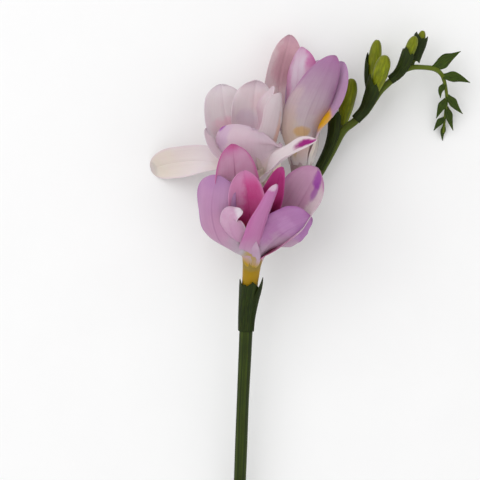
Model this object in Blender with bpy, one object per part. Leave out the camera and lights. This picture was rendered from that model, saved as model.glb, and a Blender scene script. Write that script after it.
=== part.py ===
"""A cut freesia stem laid on a table: stem and rachis, bracts, buds and three open blooms.

Lengths are in millimetres until a mesh is made. The drawing datum is the node that carries the
lowest bloom: X and Y are measured from it in the plane of the table, +Y runs towards the tip of
the spike, and Z is the height above the table. FOOTPRINT_CENTRE moves the finished stem so that
the middle of its footprint is the origin.
"""

import math
from collections import namedtuple

import bmesh
import bpy
import numpy as np

MM = 0.001
UP = np.array([0.0, 0.0, 1.0])

FOOTPRINT_CENTRE = (24.5, -41.1, 0.0)
BLADE = 0.64
GAP = 0.3
WALL = 0.8
FLOOR = 0.55
STAMEN_REACH = 3.0
TOOTH_SLOPE = 0.3

# The stem and its rachis, from the cut end to the tip: x, y, z, radius.
STEM_ROUTE = [
    (-8.4, -181.0, 2.5, 2.65),
    (-6.6, -140.0, 5.6, 2.55),
    (-4.3, -90.0, 9.6, 2.5),
    (-3.0, -55.0, 12.8, 2.5),
    (-2.0, -33.0, 15.0, 2.6),
    (-1.3, -18.0, 16.8, 2.75),
    (-0.4, -9.5, 17.2, 2.6),
    (1.5, -1.0, 14.2, 2.1),
    (3.4, 6.0, 11.0, 1.95),
    (9.6, 17.0, 7.6, 1.9),
    (17.6, 25.0, 6.0, 1.9),
    (23.0, 33.5, 6.4, 1.85),
    (28.4, 41.5, 8.4, 1.8),
    (33.2, 50.0, 10.4, 1.75),
    (37.6, 58.0, 12.4, 1.65),
    (42.2, 61.8, 13.6, 1.55),
    (46.6, 65.6, 14.2, 1.5),
    (49.8, 70.2, 14.6, 1.5),
    (53.0, 74.6, 15.0, 1.4),
    (57.4, 78.6, 15.4, 1.3),
    (61.2, 82.0, 15.8, 1.25),
    (65.4, 83.7, 15.4, 1.1),
    (70.0, 83.9, 14.2, 1.0),
    (74.8, 83.4, 12.6, 1.05),
    (77.8, 81.4, 11.0, 0.9),
    (79.3, 78.0, 9.2, 0.75),
    (80.3, 73.0, 7.0, 0.65),
    (80.2, 68.0, 5.0, 0.6),
    (79.7, 62.0, 3.0, 0.5),
    (79.4, 58.0, 1.8, 0.45),
]
STEM_SIDES = 10
STEM_RINGS = 46

Petal = namedtuple("Petal", "azimuth route width widest cup twist point")
Bloom = namedtuple("Bloom", "name base throat radii flare root_angle petals")

# Each petal: azimuth round the tube (0 faces up from the table, 90 is the right of the spike),
# the route of its mid-rib past the throat, its half width along the surface, where along it
# that is, the half-angles of its cup at the middle and the tip, its twist in degrees, and how
# blunt its tip is.
BLOOM_A = Bloom(
    "bloom_a",
    base=(-0.1, -4.6, 20.2),
    throat=(1.1, 8.0, 26.6),
    radii=(3.2, 4.2),
    flare=1.5,
    root_angle=54.0,
    petals=[
        Petal(308, [(-6.6, 9.6, 30.0), (-12.4, 14.6, 32.4), (-15.0, 26.0, 34.5),
                    (-13.0, 39.4, 36.8)],
              9.6, 0.55, (46, 34), 24, 6.0),
        Petal(195, [(-3.2, 18.0, 26.4), (-5.6, 36.0, 31.6), (-6.8, 51.8, 36.5)], 9.8, 0.6, (38, 34),
              0, 2.4),
        Petal(176, [(0.4, 17.0, 29.0), (-0.6, 29.0, 34.5), (-2.4, 41.4, 40.0)], 8.8, 0.6, (54, 44),
              0, 2.4),
        Petal(332, [(-3.4, 11.5, 34.5), (-7.2, 17.4, 39.2), (-7.8, 23.4, 42.2), (-3.2, 25.6, 43.2)],
              7.0, 0.4, (46, 20), 0, 1.6),
        Petal(18, [(3.2, 12.5, 35.4), (6.0, 23.0, 42.2), (10.4, 35.6, 47.0)], 8.2, 0.4, (46, 38),
              40, 1.9),
        Petal(108, [(10.6, 14.0, 28.5), (19.8, 28.6, 33.0), (27.0, 42.0, 37.6)], 10.6, 0.7,
              (36, 24), 30, 2.4),
        Petal(60, [(7.4, 12.0, 34.0), (13.6, 17.2, 38.0), (19.8, 20.6, 39.6), (24.2, 22.6, 39.8)],
              9.8, 0.6, (32, 26), -58, 2.8),
        Petal(146, [(4.6, 16.5, 29.4), (8.8, 29.0, 35.2), (12.8, 42.6, 41.4)], 6.4, 0.5, (48, 36),
              0, 1.8),
    ],
)
BLOOM_B = Bloom(
    "bloom_b",
    base=(8.6, 21.4, 12.6),
    throat=(4.0, 40.6, 19.4),
    radii=(1.9, 4.4),
    flare=1.5,
    root_angle=50.0,
    petals=[
        Petal(350, [(0.2, 46.0, 27.4), (-2.4, 54.0, 31.0), (-3.6, 61.0, 31.0)], 15.6, 0.52,
              (58, 50), 0, 3.2),
        Petal(78, [(8.0, 48.0, 23.6), (10.4, 60.0, 27.2), (12.4, 72.4, 28.0)], 8.4, 0.56, (46, 40),
              -30, 2.6),
        Petal(116, [(6.0, 50.0, 20.0), (7.4, 62.0, 21.6), (9.0, 75.6, 23.0)], 6.2, 0.62, (40, 36),
              0, 2.4),
        Petal(182, [(2.4, 51.0, 16.6), (1.4, 65.0, 17.0), (2.4, 78.4, 18.0)], 9.8, 0.66, (40, 30),
              0, 2.4),
        Petal(226, [(-2.4, 50.0, 16.6), (-9.6, 63.0, 15.6), (-11.4, 76.8, 16.0)], 11.4, 0.62,
              (40, 30), -24, 2.6),
        Petal(270, [(-5.6, 46.2, 20.8), (-12.4, 52.4, 21.0), (-17.6, 58.8, 21.0)], 10.2, 0.56,
              (38, 30), -34, 2.4),
        Petal(290, [(-5.2, 43.4, 21.0), (-18.6, 46.0, 17.4), (-31.0, 45.6, 6.4),
                    (-40.6, 43.4, -1.6)],
              6.8, 0.72, (36, 30), -62, 2.4),
        Petal(48, [(5.4, 37.8, 25.6), (10.6, 44.0, 31.0), (18.8, 50.2, 35.0), (26.4, 53.4, 37.0)],
              5.6, 0.5, (56, 44), 30, 2.0),
    ],
)
BLOOM_C = Bloom(
    "bloom_c",
    base=(20.6, 27.6, 13.0),
    throat=(20.6, 51.0, 16.4),
    radii=(1.9, 5.6),
    flare=1.0,
    root_angle=54.0,
    petals=[
        Petal(236, [(14.4, 62.0, 10.0), (11.8, 77.0, 7.6), (16.4, 97.4, 9.0)], 9.6, 0.56, (40, 30),
              -26, 2.4),
        Petal(322, [(18.2, 62.0, 19.4), (19.2, 78.0, 20.4), (20.8, 91.6, 19.4)], 9.2, 0.6, (50, 42),
              0, 2.2),
        Petal(22, [(21.8, 60.0, 23.6), (26.2, 72.0, 27.4), (34.0, 87.6, 26.4)], 10.0, 0.44,
              (50, 36), -14, 1.6),
        Petal(96, [(27.0, 61.0, 18.5), (34.2, 72.0, 21.0), (37.0, 85.6, 21.4)], 8.4, 0.56, (44, 36),
              40, 2.4),
        Petal(168, [(23.6, 62.0, 9.0), (27.0, 76.0, 2.0), (30.0, 87.6, -1.6)], 8.6, 0.64, (42, 34),
              0, 2.4),
        Petal(202, [(19.6, 62.0, 9.0), (20.6, 77.0, 5.0), (24.0, 88.0, 3.0)], 7.6, 0.62, (42, 34),
              0, 2.4),
    ],
)
BLOOMS = [BLOOM_A, BLOOM_B, BLOOM_C]

Bud = namedtuple("Bud", "name route radius")
BUDS = [
    Bud("bud_1", [(37.4, 60.6, 8.2), (39.2, 68.0, 8.4), (40.7, 74.0, 9.0), (41.6, 79.6, 9.8)], 3.0),
    Bud("bud_2_front", [(50.2, 74.6, 19.0), (51.8, 78.8, 20.0), (53.2, 83.4, 20.6),
                        (54.6, 88.2, 20.4)],
        3.1),
    Bud("bud_2_back", [(50.6, 74.4, 11.0), (50.2, 80.0, 9.5), (50.9, 88.0, 9.2), (51.9, 95.4, 9.8)],
        2.6),
    Bud("bud_3_front", [(62.4, 85.0, 17.8), (63.8, 88.8, 18.8), (65.3, 92.6, 19.2),
                        (66.6, 96.0, 19.0)],
        2.2),
    Bud("bud_3_back", [(66.2, 86.8, 14.6), (67.6, 90.6, 13.6), (69.2, 95.0, 13.2),
                       (70.2, 98.8, 13.6)],
        1.8),
]

Bract = namedtuple("Bract", "azimuth axis half_angle teeth")

# Each bract clasps an axis (x, y, z and the radius at which it wraps round it) and ends in
# teeth: where each is across the bract, from -1 to 1, and its height as a share of the axis.
BRACT_PAIRS = {
    "bracts_bloom_a": [
        Bract(-30, [(-1.5, -17.5, 16.9, 3.35), (-0.6, -10.0, 18.2, 3.7), (0.0, -4.0, 20.4, 4.1),
                    (0.2, -0.8, 22.0, 4.3)],
              88, [(-0.5, 0.98), (0.0, 0.93), (0.5, 1.0)]),
        Bract(60, [(-1.5, -17.5, 16.9, 3.4), (-0.4, -9.6, 18.3, 3.9), (0.6, -3.6, 20.6, 4.5),
                   (1.2, 0.6, 22.2, 4.8)],
              30, [(0.0, 1.0)]),
    ],
    "bracts_bloom_b": [
        Bract(-10, [(8.9, 20.2, 12.2, 2.6), (8.5, 22.0, 12.8, 2.9), (7.7, 25.4, 14.0, 3.0),
                    (6.7, 29.6, 15.5, 3.3)],
              92, [(-0.25, 1.0), (0.5, 0.9)]),
    ],
    "bracts_bloom_c": [
        Bract(0, [(20.6, 26.4, 12.8, 2.6), (20.6, 28.0, 13.1, 3.0), (20.6, 31.0, 13.5, 3.8),
                  (20.6, 34.6, 14.0, 4.5)],
              92, [(-0.25, 1.0), (0.5, 0.9)]),
    ],
    "bracts_bud_1": [
        Bract(-66, [(29.2, 42.8, 8.7, 2.6), (33.0, 50.5, 9.9, 2.9), (35.2, 57.0, 11.0, 3.5),
                    (35.6, 62.0, 10.8, 3.8), (35.8, 66.0, 10.6, 3.8)],
              84, [(-0.5, 0.86), (0.25, 0.92), (0.75, 1.0)]),
    ],
    "bracts_bud_2_front": [
        Bract(-44, [(43.4, 62.4, 13.8, 2.45), (46.8, 66.4, 14.6, 2.6), (49.0, 70.8, 16.4, 3.2),
                    (50.6, 75.4, 19.0, 3.7), (51.8, 80.4, 20.6, 3.9)],
              80, [(-0.75, 0.94), (-0.25, 1.0), (0.5, 0.86)]),
    ],
    "bracts_bud_2_back": [
        Bract(-104, [(50.4, 75.0, 10.7, 2.9), (49.9, 80.0, 9.6, 3.1), (50.1, 85.0, 9.2, 3.1),
                     (50.7, 90.2, 9.2, 3.0)],
              66, [(-0.25, 1.0), (0.5, 0.8)]),
    ],
    "bracts_bud_3_front": [
        Bract(-40, [(57.0, 78.4, 15.4, 2.0), (59.8, 80.6, 15.8, 2.2), (62.0, 83.6, 17.0, 2.6),
                    (63.6, 87.4, 18.4, 2.9), (64.8, 91.6, 19.2, 2.9)],
              88, [(-0.5, 0.93), (0.0, 1.0), (0.75, 0.88)]),
    ],
    "bracts_bud_3_back": [
        Bract(-6, [(66.2, 86.2, 14.2, 2.3), (67.2, 89.6, 13.4, 2.6), (68.6, 93.6, 13.1, 2.8),
                   (69.7, 97.8, 13.4, 2.7)],
              100, [(-0.5, 1.0), (0.25, 0.86), (0.75, 0.94)]),
    ],
}

# Where the short ovary of each bloom and bud leaves the rachis: x, y, z and its radius.
OVARY_ROOTS = {
    "bloom_a": (-0.7, -10.0, 17.3, 2.5),
    "bloom_b": (8.6, 15.4, 8.0, 1.7),
    "bloom_c": (19.0, 25.4, 6.4, 1.5),
    "bud_1": (34.0, 51.4, 10.6, 1.4),
    "bud_2_front": (48.9, 69.0, 14.5, 1.2),
    "bud_2_back": (48.8, 68.8, 14.4, 1.2),
    "bud_3_front": (60.6, 81.4, 15.7, 1.0),
    "bud_3_back": (65.2, 83.7, 15.4, 0.9),
}

Leaflet = namedtuple("Leaflet", "route width facing")
# The small bracts at the end of the spike, each round a bud too small to see.
TIP_BRACTS = [
    Leaflet([(74.0, 83.5, 12.8), (80.0, 87.6, 12.4), (85.6, 90.6, 11.4)], 2.7, (0.3, -0.4, 0.9)),
    Leaflet([(75.0, 83.2, 12.4), (78.4, 88.4, 11.4), (81.6, 89.8, 10.8)], 2.0, (0.4, -0.6, 0.9)),
    Leaflet([(78.4, 80.4, 10.8), (84.4, 79.8, 10.4), (89.6, 78.1, 9.4)], 2.3, (0.1, 0.3, 0.9)),
    Leaflet([(79.4, 77.6, 9.2), (77.7, 74.6, 9.2), (77.6, 71.8, 8.8)], 1.3, (-0.6, -0.2, 0.9)),
    Leaflet([(80.4, 72.8, 7.0), (83.8, 68.6, 6.2), (87.0, 65.6, 5.2)], 2.0, (0.3, 0.3, 0.9)),
    Leaflet([(80.2, 71.6, 6.6), (77.8, 67.2, 6.2), (76.2, 63.8, 5.6)], 1.7, (-0.3, 0.2, 0.9)),
    Leaflet([(80.2, 68.4, 5.2), (81.6, 63.4, 4.2), (83.3, 58.9, 3.4)], 1.8, (0.4, 0.2, 0.9)),
    Leaflet([(79.9, 64.0, 3.8), (77.4, 61.6, 3.2), (75.4, 58.9, 2.6)], 1.5, (-0.3, 0.4, 0.9)),
    Leaflet([(79.6, 61.2, 2.8), (79.0, 57.8, 1.4), (79.3, 54.9, 0.0)], 1.2, (0.4, 0.2, 0.9)),
]

GREEN = ("stem_green", (0.075, 0.14, 0.03), 0.5)
BUD_GREEN = ("bud_green", (0.32, 0.38, 0.05), 0.5)
PINK = ("petal_pink", (0.75, 0.38, 0.62), 0.5)
WHITE = ("petal_white", (0.86, 0.78, 0.82), 0.5)
LILAC = ("petal_lilac", (0.8, 0.6, 0.78), 0.5)
CREAM = ("stamen_cream", (0.9, 0.8, 0.55), 0.5)


def unit(v):
    """The direction of v, one long."""
    v = np.asarray(v, float)
    return v / np.linalg.norm(v)


def smooth(points, shares):
    """Points at the given shares of the length of a smooth curve through the given ones."""
    p = np.asarray(points, float)
    ends = [2 * p[0] - p[1], *p, 2 * p[-1] - p[-2]]
    fine = []
    for a, b, c, d in zip(ends, ends[1:], ends[2:], ends[3:]):
        square, cube = 2 * a - 5 * b + 4 * c - d, 3 * b - a - 3 * c + d
        for t in np.linspace(0, 1, 24, endpoint=False):
            fine.append(0.5 * (2 * b + (c - a) * t + square * t**2 + cube * t**3))
    fine = np.array([*fine, p[-1]])
    steps = np.linalg.norm(np.diff(fine[:, :3], axis=0), axis=1)
    along = np.concatenate([[0], np.cumsum(steps)])
    wanted = np.asarray(shares) * along[-1]
    return np.stack([np.interp(wanted, along, fine[:, i]) for i in range(p.shape[1])], axis=1)


def tangents(line):
    """The direction of travel at each point of a line."""
    return np.array([unit(t) for t in np.gradient(line[:, :3], axis=0)])


def ease(x):
    """0 to 1, level at both ends."""
    x = np.clip(x, 0, 1)
    return x * x * (3 - 2 * x)


def three_way(u, values, middle):
    """Blends from the first value through the second, at middle, to the third."""
    low, mid, high = values
    if u < middle:
        return low + (mid - low) * ease(u / middle)
    return mid + (high - mid) * ease((u - middle) / (1 - middle))


def axes_across(direction):
    """Two directions across a stalk: the one nearest straight up, and its right."""
    front = unit(UP - np.dot(UP, direction) * np.asarray(direction))
    return front, np.cross(direction, front)


def outline(u, root, petal):
    """Half width of a petal at u, from its root to its rounded tip."""
    width, widest = petal.width, petal.widest
    if u < widest:
        return root + (width - root) * math.sin(math.pi / 2 * u / widest) ** 0.9
    q = (u - widest) / (1 - widest)
    return width * max(1 - q**petal.point, 0.0) ** 0.52


def tube_radius(bloom, t):
    """Outside radius of a bloom's tube, t from its foot to its throat."""
    narrow, wide = bloom.radii
    return narrow + (wide - narrow) * t**bloom.flare


def petal_grid(bloom, petal, rows, columns):
    """The middle surface of one petal, rooted in the wall of its tube."""
    axis = unit(np.subtract(bloom.throat, bloom.base))
    front, right = axes_across(axis)
    angle = math.radians(petal.azimuth)
    outward = math.cos(angle) * front + math.sin(angle) * right
    side0 = -math.sin(angle) * front + math.cos(angle) * right
    length = np.linalg.norm(np.subtract(bloom.throat, bloom.base))
    radius = bloom.radii[1] - WALL / 2
    start = np.asarray(bloom.base) + axis * length * 0.72
    low = start + outward * (tube_radius(bloom, 0.72) - WALL / 2)
    rim = np.asarray(bloom.throat) + outward * radius
    shares = 1 - (1 - np.linspace(0, 1, rows)) ** 1.35
    line = smooth([low, rim, *petal.route], shares)
    facing = tangents(line)
    root_angle = math.radians(bloom.root_angle)
    grid = np.zeros((rows, columns, 3))
    for i, (u, centre, along) in enumerate(zip(shares, line, facing)):
        side = unit(side0 - np.dot(side0, along) * along)
        inner = np.cross(along, side)
        turn = math.radians(petal.twist) * ease(u / 0.55)
        side, inner = (
            math.cos(turn) * side + math.sin(turn) * inner,
            math.cos(turn) * inner - math.sin(turn) * side,
        )
        half = max(outline(u, radius * root_angle, petal), 0.35)
        cup = math.radians(three_way(u, (bloom.root_angle, *petal.cup), petal.widest))
        bend = half / cup
        for j in range(columns):
            phi = cup * (2 * j / (columns - 1) - 1)
            grid[i, j] = centre + side * bend * math.sin(phi) + inner * bend * (1 - math.cos(phi))
    grid[:, :, 2] = np.maximum(grid[:, :, 2], BLADE / 2)
    return grid


def tooth_height(teeth, v):
    """How far a bract reaches at v across it, as a share of its axis."""
    return max(height - TOOTH_SLOPE * abs(v - place) for place, height in teeth)


def bract_grid(bract, rows, columns):
    """The middle surface of a bract, which clasps its axis and ends in teeth."""
    grid = np.zeros((rows, columns, 3))
    for j, v in enumerate(np.linspace(-1, 1, columns)):
        line = smooth(bract.axis, np.linspace(0, tooth_height(bract.teeth, v), rows))
        phi = math.radians(bract.azimuth + bract.half_angle * v)
        for i, (station, along) in enumerate(zip(line, tangents(line))):
            front, right = axes_across(along)
            grid[i, j] = station[:3] + station[3] * (math.cos(phi) * front + math.sin(phi) * right)
    return grid


def leaflet_grid(leaflet, rows, columns):
    """The middle surface of one small bract at the end of the spike."""
    line = smooth(leaflet.route, np.linspace(0, 1, rows))
    facing = tangents(line)
    grid = np.zeros((rows, columns, 3))
    for i, (centre, along) in enumerate(zip(line, facing)):
        u = i / (rows - 1)
        face = unit(np.asarray(leaflet.facing) - np.dot(leaflet.facing, along) * along)
        side = np.cross(face, along)
        half = max(leaflet.width * min(0.5 + 0.5 * ease(u / 0.35), 1.0, (1 - u) / 0.6), 0.3)
        for j in range(columns):
            v = 2 * j / (columns - 1) - 1
            grid[i, j] = centre + side * half * v + face * 0.35 * half * v * v
    return grid


def grid_normals(grid):
    """The unit normal at each point of a grid."""
    across = np.cross(np.gradient(grid, axis=0), np.gradient(grid, axis=1))
    return across / np.maximum(np.linalg.norm(across, axis=2, keepdims=True), 1e-9)


def blade(grid, thickness):
    """A closed thin solid on both sides of a grid, split into triangles alike on both faces."""
    rows, columns = grid.shape[:2]
    normals = grid_normals(grid)
    upper = grid + normals * thickness / 2
    lower = grid - normals * thickness / 2
    points = np.concatenate([upper.reshape(-1, 3), lower.reshape(-1, 3)])
    points[:, 2] = np.maximum(points[:, 2], 0.0)
    size = rows * columns
    faces = []
    for i in range(rows - 1):
        for j in range(columns - 1):
            a = i * columns + j
            b, c, d = a + 1, a + columns + 1, a + columns
            faces += [(a, c, b), (a, d, c)]
            faces += [(a + size, b + size, c + size), (a + size, c + size, d + size)]
    ring = list(range(columns))
    ring += [i * columns + columns - 1 for i in range(1, rows)]
    ring += [(rows - 1) * columns + j for j in range(columns - 2, -1, -1)]
    ring += [i * columns for i in range(rows - 2, 0, -1)]
    for a, b in zip(ring, ring[1:] + ring[:1]):
        faces += [(a, b, b + size), (a, b + size, a + size)]
    return points, faces


def rod(line, sides, lobes=0.0):
    """A closed solid round a line of x, y, z, radius, with lobes as a share of the radius."""
    facing = tangents(line)
    front, _ = axes_across(facing[0])
    points = []
    for station, along in zip(line, facing):
        front = unit(front - np.dot(front, along) * along)
        right = np.cross(along, front)
        for k in range(sides):
            phi = 2 * math.pi * (k + 0.5) / sides
            radius = station[3] * (1 + lobes * math.cos(3 * phi))
            points.append(station[:3] + radius * (math.cos(phi) * front + math.sin(phi) * right))
    faces = []
    for i in range(len(line) - 1):
        for k in range(sides):
            a, b = i * sides + k, i * sides + (k + 1) % sides
            faces += [(a, b, b + sides), (a, b + sides, a + sides)]
    last = (len(line) - 1) * sides
    faces.append(tuple(range(sides - 1, -1, -1)))
    faces.append(tuple(last + k for k in range(sides)))
    return np.array(points), faces


def cup(bloom, sides, rings):
    """The tube of a bloom: a funnel with a closed foot and an open throat."""
    base, throat = np.asarray(bloom.base), np.asarray(bloom.throat)
    axis = unit(throat - base)
    front, right = axes_across(axis)
    length = np.linalg.norm(throat - base)
    outside = [(t * length, tube_radius(bloom, t)) for t in np.linspace(0, 1, rings)]
    down = np.linspace(1, FLOOR, rings // 2)
    inside = [(t * length, tube_radius(bloom, t) - WALL) for t in down]
    points = []
    for height, radius in outside + inside:
        for k in range(sides):
            phi = 2 * math.pi * k / sides
            spoke = math.cos(phi) * front + math.sin(phi) * right
            points.append(base + axis * height + radius * spoke)
    faces = []
    count = rings + rings // 2
    for i in range(count - 1):
        for k in range(sides):
            a, b = i * sides + k, i * sides + (k + 1) % sides
            faces += [(a, b, b + sides), (a, b + sides, a + sides)]
    last = (count - 1) * sides
    faces.append(tuple(range(sides - 1, -1, -1)))
    faces.append(tuple(last + k for k in range(sides)))
    return np.array(points), faces


def bud_line(bud, rows):
    """The axis of a bud and its radius along it: a narrow neck, a full middle, a blunt tip."""
    u = np.linspace(0, 1, rows)
    line = smooth(bud.route, u)
    swell = 0.7 + 0.3 * ease(u / 0.5)
    close = np.sqrt(np.maximum(1 - (np.maximum(u - 0.62, 0) / 0.39) ** 2.4, 0.02))
    return np.column_stack([line, bud.radius * swell * close])


def stamens(bloom):
    """The style and three stamens of a bloom as rods that share one foot on the tube's floor."""
    base, throat = np.asarray(bloom.base), np.asarray(bloom.throat)
    axis = unit(throat - base)
    front, right = axes_across(axis)
    length = np.linalg.norm(throat - base)
    foot = base + axis * (FLOOR * length + GAP)
    reach = (1 - FLOOR) * length + STAMEN_REACH
    rods = [[(*foot, 0.9), (*(foot + axis * 1.6), 0.9)]]
    for k in range(3):
        phi = math.radians(120 * k + 200)
        lean = math.cos(phi) * front + math.sin(phi) * right
        tip = foot + axis * reach + lean * 0.9
        anther = tip - axis * 4.6
        rods.append([(*(foot + axis * 0.3 + lean * 0.3), 0.4), (*anther, 0.38)])
        pollen_sac = [(anther - axis * 0.4, 0.4), (anther + axis * 1.2, 0.75)]
        pollen_sac += [(tip - axis * 0.8, 0.7), (tip, 0.35)]
        rods.append([(*place, radius) for place, radius in pollen_sac])
    top = foot + axis * (reach + 1.5)
    rods.append([(*foot, 0.45), (*top, 0.4)])
    for k in range(3):
        phi = math.radians(120 * k + 260)
        lean = math.cos(phi) * front + math.sin(phi) * right
        rods.append([(*(top - axis * 0.5), 0.4), (*(top + axis * 1.6 + lean * 1.8), 0.36)])
    return [rod(np.array(line, float), 4) for line in rods]


def material(finish):
    """A plain material of one colour."""
    name, colour, roughness = finish
    made = bpy.data.materials.get(name) or bpy.data.materials.new(name)
    made.use_nodes = True
    shader = made.node_tree.nodes["Principled BSDF"]
    shader.inputs["Base Color"].default_value = (*colour, 1)
    shader.inputs["Roughness"].default_value = roughness
    return made


def mesh_object(name, solid, finish):
    """An object from points in millimetres and faces, moved to the footprint's centre."""
    points, faces = solid
    points = np.array(points, float)
    points = (points - np.asarray(FOOTPRINT_CENTRE)) * MM
    mesh = bpy.data.meshes.new(name)
    mesh.from_pydata(points.tolist(), [], faces)
    mesh.validate()
    mesh.materials.append(material(finish))
    made = bpy.data.objects.new(name, mesh)
    bpy.context.scene.collection.objects.link(made)
    return made


def fill_pockets(mesh):
    """Fills the small pockets that are sealed between overlapping blades."""
    grown = bmesh.new()
    grown.from_mesh(mesh)
    waiting, shells = set(grown.verts), []
    while waiting:
        shell, edge = set(), {waiting.pop()}
        while edge:
            shell |= edge
            edge = {e.other_vert(v) for v in edge for e in v.link_edges} - shell
        waiting -= shell
        shells.append(shell)
    outer = max(shells, key=len)
    inner = [v for v in grown.verts if v not in outer]
    bmesh.ops.delete(grown, geom=inner, context="VERTS")
    grown.to_mesh(mesh)
    grown.free()


def joined(name, solids, finish):
    """One object: the union of several closed solids that overlap."""
    pieces = [mesh_object(f"{name}_piece_{i}", solid, finish) for i, solid in enumerate(solids)]
    first, *others = pieces
    group = bpy.data.collections.new(f"{name}_pieces")
    bpy.context.scene.collection.children.link(group)
    for piece in others:
        bpy.context.scene.collection.objects.unlink(piece)
        group.objects.link(piece)
    union = first.modifiers.new("union", "BOOLEAN")
    union.operation = "UNION"
    union.solver = "MANIFOLD"
    union.operand_type = "COLLECTION"
    union.collection = group
    bpy.context.view_layer.update()
    graph = bpy.context.evaluated_depsgraph_get()
    mesh = bpy.data.meshes.new_from_object(first.evaluated_get(graph))
    for piece in pieces:
        bpy.data.objects.remove(piece)
    bpy.data.collections.remove(group)
    made = bpy.data.objects.new(name, mesh)
    mesh.name = name
    fill_pockets(mesh)
    bpy.context.scene.collection.objects.link(made)
    return made


def ovary(root, foot, axis, radius):
    """The short ovary from the rachis to just below the foot of its bloom or bud."""
    seat = [(*(np.asarray(foot) - unit(axis) * step), radius) for step in (3.0, 1.6, 0.9, GAP)]
    return rod(np.array([root, *seat]), 8)


def ovaries():
    """All the ovaries of the spike."""
    feet = {bloom.name: (bloom.base, np.subtract(bloom.throat, bloom.base)) for bloom in BLOOMS}
    feet |= {bud.name: (bud.route[0], np.subtract(bud.route[1], bud.route[0])) for bud in BUDS}
    return [
        ovary(OVARY_ROOTS[name], foot, axis, OVARY_ROOTS[name][3])
        for name, (foot, axis) in feet.items()
    ]


def stem():
    """The stem, its rachis, the ovaries and the small bracts at the tip, grown as one."""
    line = smooth(STEM_ROUTE, np.linspace(0, 1, STEM_RINGS))
    points, faces = rod(line, STEM_SIDES)
    points[:, 2] = np.maximum(points[:, 2], 0.0)
    solids = [(points, faces)]
    solids += ovaries()
    solids += [blade(leaflet_grid(leaflet, 5, 3), BLADE) for leaflet in TIP_BRACTS]
    return joined("stem", solids, GREEN)


def perianth(bloom, finish):
    """The tube of a bloom and its petals, which grow as one."""
    solids = [cup(bloom, 14, 5)]
    solids += [blade(petal_grid(bloom, petal, 9, 6), BLADE) for petal in bloom.petals]
    return joined(f"{bloom.name}_perianth", solids, finish)


def main():
    for old in list(bpy.data.objects):
        bpy.data.objects.remove(old)
    stem()
    for name, bracts in BRACT_PAIRS.items():
        blades = [blade(bract_grid(bract, 6, 9), BLADE) for bract in bracts]
        if len(blades) > 1:
            joined(name, blades, GREEN)
        else:
            mesh_object(name, blades[0], GREEN)
    for bud in BUDS:
        mesh_object(bud.name, rod(bud_line(bud, 10), 12, 0.06), BUD_GREEN)
    for bloom, finish in zip(BLOOMS, (PINK, WHITE, LILAC)):
        perianth(bloom, finish)
        joined(f"{bloom.name}_stamens", stamens(bloom), CREAM)


main()
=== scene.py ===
"""A cut freesia stem on a pale table, dressed for its portrait from straight above.

Routes are in millimetres from the node that carries the lowest bloom, with Z as the height above
the table; FOOTPRINT_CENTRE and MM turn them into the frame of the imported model.
"""

import math
import random
from collections import namedtuple

import bpy
import numpy as np
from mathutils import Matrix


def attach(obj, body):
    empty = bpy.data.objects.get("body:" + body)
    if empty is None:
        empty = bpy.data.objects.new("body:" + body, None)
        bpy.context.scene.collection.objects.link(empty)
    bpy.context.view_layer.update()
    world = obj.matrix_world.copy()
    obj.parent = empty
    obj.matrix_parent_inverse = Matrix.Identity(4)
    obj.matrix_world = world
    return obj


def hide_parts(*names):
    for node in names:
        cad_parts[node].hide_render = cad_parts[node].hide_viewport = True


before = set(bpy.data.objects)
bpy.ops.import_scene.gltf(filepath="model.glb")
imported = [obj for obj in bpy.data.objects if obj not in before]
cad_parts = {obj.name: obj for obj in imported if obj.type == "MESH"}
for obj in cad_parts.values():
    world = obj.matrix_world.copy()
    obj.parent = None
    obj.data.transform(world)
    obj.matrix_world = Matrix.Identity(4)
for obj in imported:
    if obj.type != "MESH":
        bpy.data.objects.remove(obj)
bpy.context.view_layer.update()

MM = 0.001
UP = np.array([0.0, 0.0, 1.0])
FOOTPRINT_CENTRE = np.array([24.5, -41.1, 0.0])

# How thick petals and bracts are in their middle and at their margins, in millimetres.
PETAL_THICKNESS = 0.5
PETAL_EDGE = 0.16
BRACT_THICKNESS = 0.5
BRACT_EDGE = 0.22
LEAFLET_EDGE = 0.2
# The wall of a tube, and as shares of its length where its floor is and where petals root.
WALL = 0.8
FLOOR = 0.55
PETAL_ROOT = 0.72
# How far stamens stand out of a throat, and how steeply a bract falls away from a tooth.
STAMEN_REACH = 3.0
TOOTH_SLOPE = 0.3

# How finely each kind of piece is divided.
CURVE_STEPS = 24
STEM_RINGS, STEM_SIDES = 420, 30
OVARY_RINGS, OVARY_SIDES = 24, 20
LEAFLET_ROWS, LEAFLET_COLUMNS = 24, 15
BRACT_ROWS, BRACT_COLUMNS = 60, 49
BUD_RINGS, BUD_SIDES = 60, 48
TUBE_RINGS, TUBE_SIDES = 24, 48
PETAL_ROWS, PETAL_COLUMNS = 72, 49
THREAD_RINGS, THREAD_SIDES = 16, 12
ANTHER_RINGS, ANTHER_SIDES = 20, 14
# How much closer the rows of a petal lie at its tip, and its columns at its margins.
ROW_CROWDING = 1.35
COLUMN_CROWDING = 1.25

# How many cells of noise each texture has in a metre.
TABLE_SCALE = 30.0
PATCH_SCALE = 70.0
DRIFT_SCALE = 90.0
BLOTCH_SCALE = 150.0
RAGGED_SCALE = 300.0
SPECK_SCALE = 900.0
PORE_SCALE = 1800.0
GRAIN_SCALE = 2600.0

# What the camera looks at, how wide its view is there and how far away it is.
VIEW_CENTRE = np.array([-4.0, 14.0, 25.0])
VIEW_WIDTH = 192.0
VIEW_DISTANCE = 900.0
SENSOR_WIDTH = 36.0

# The table's half width and where the lamps aim, in metres.
TABLE_REACH = 3.0
LAMP_AIM = (0, 0.06, 0.02)
# Each lamp: its name, its place and size in metres, and its power in watts.
LAMPS = [("key", (-0.7, 0.55, 1.1), 1.3, 6.4), ("fill", (0.9, -0.5, 1.0), 1.4, 2.0)]
SKY_STRENGTH = 0.78


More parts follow.
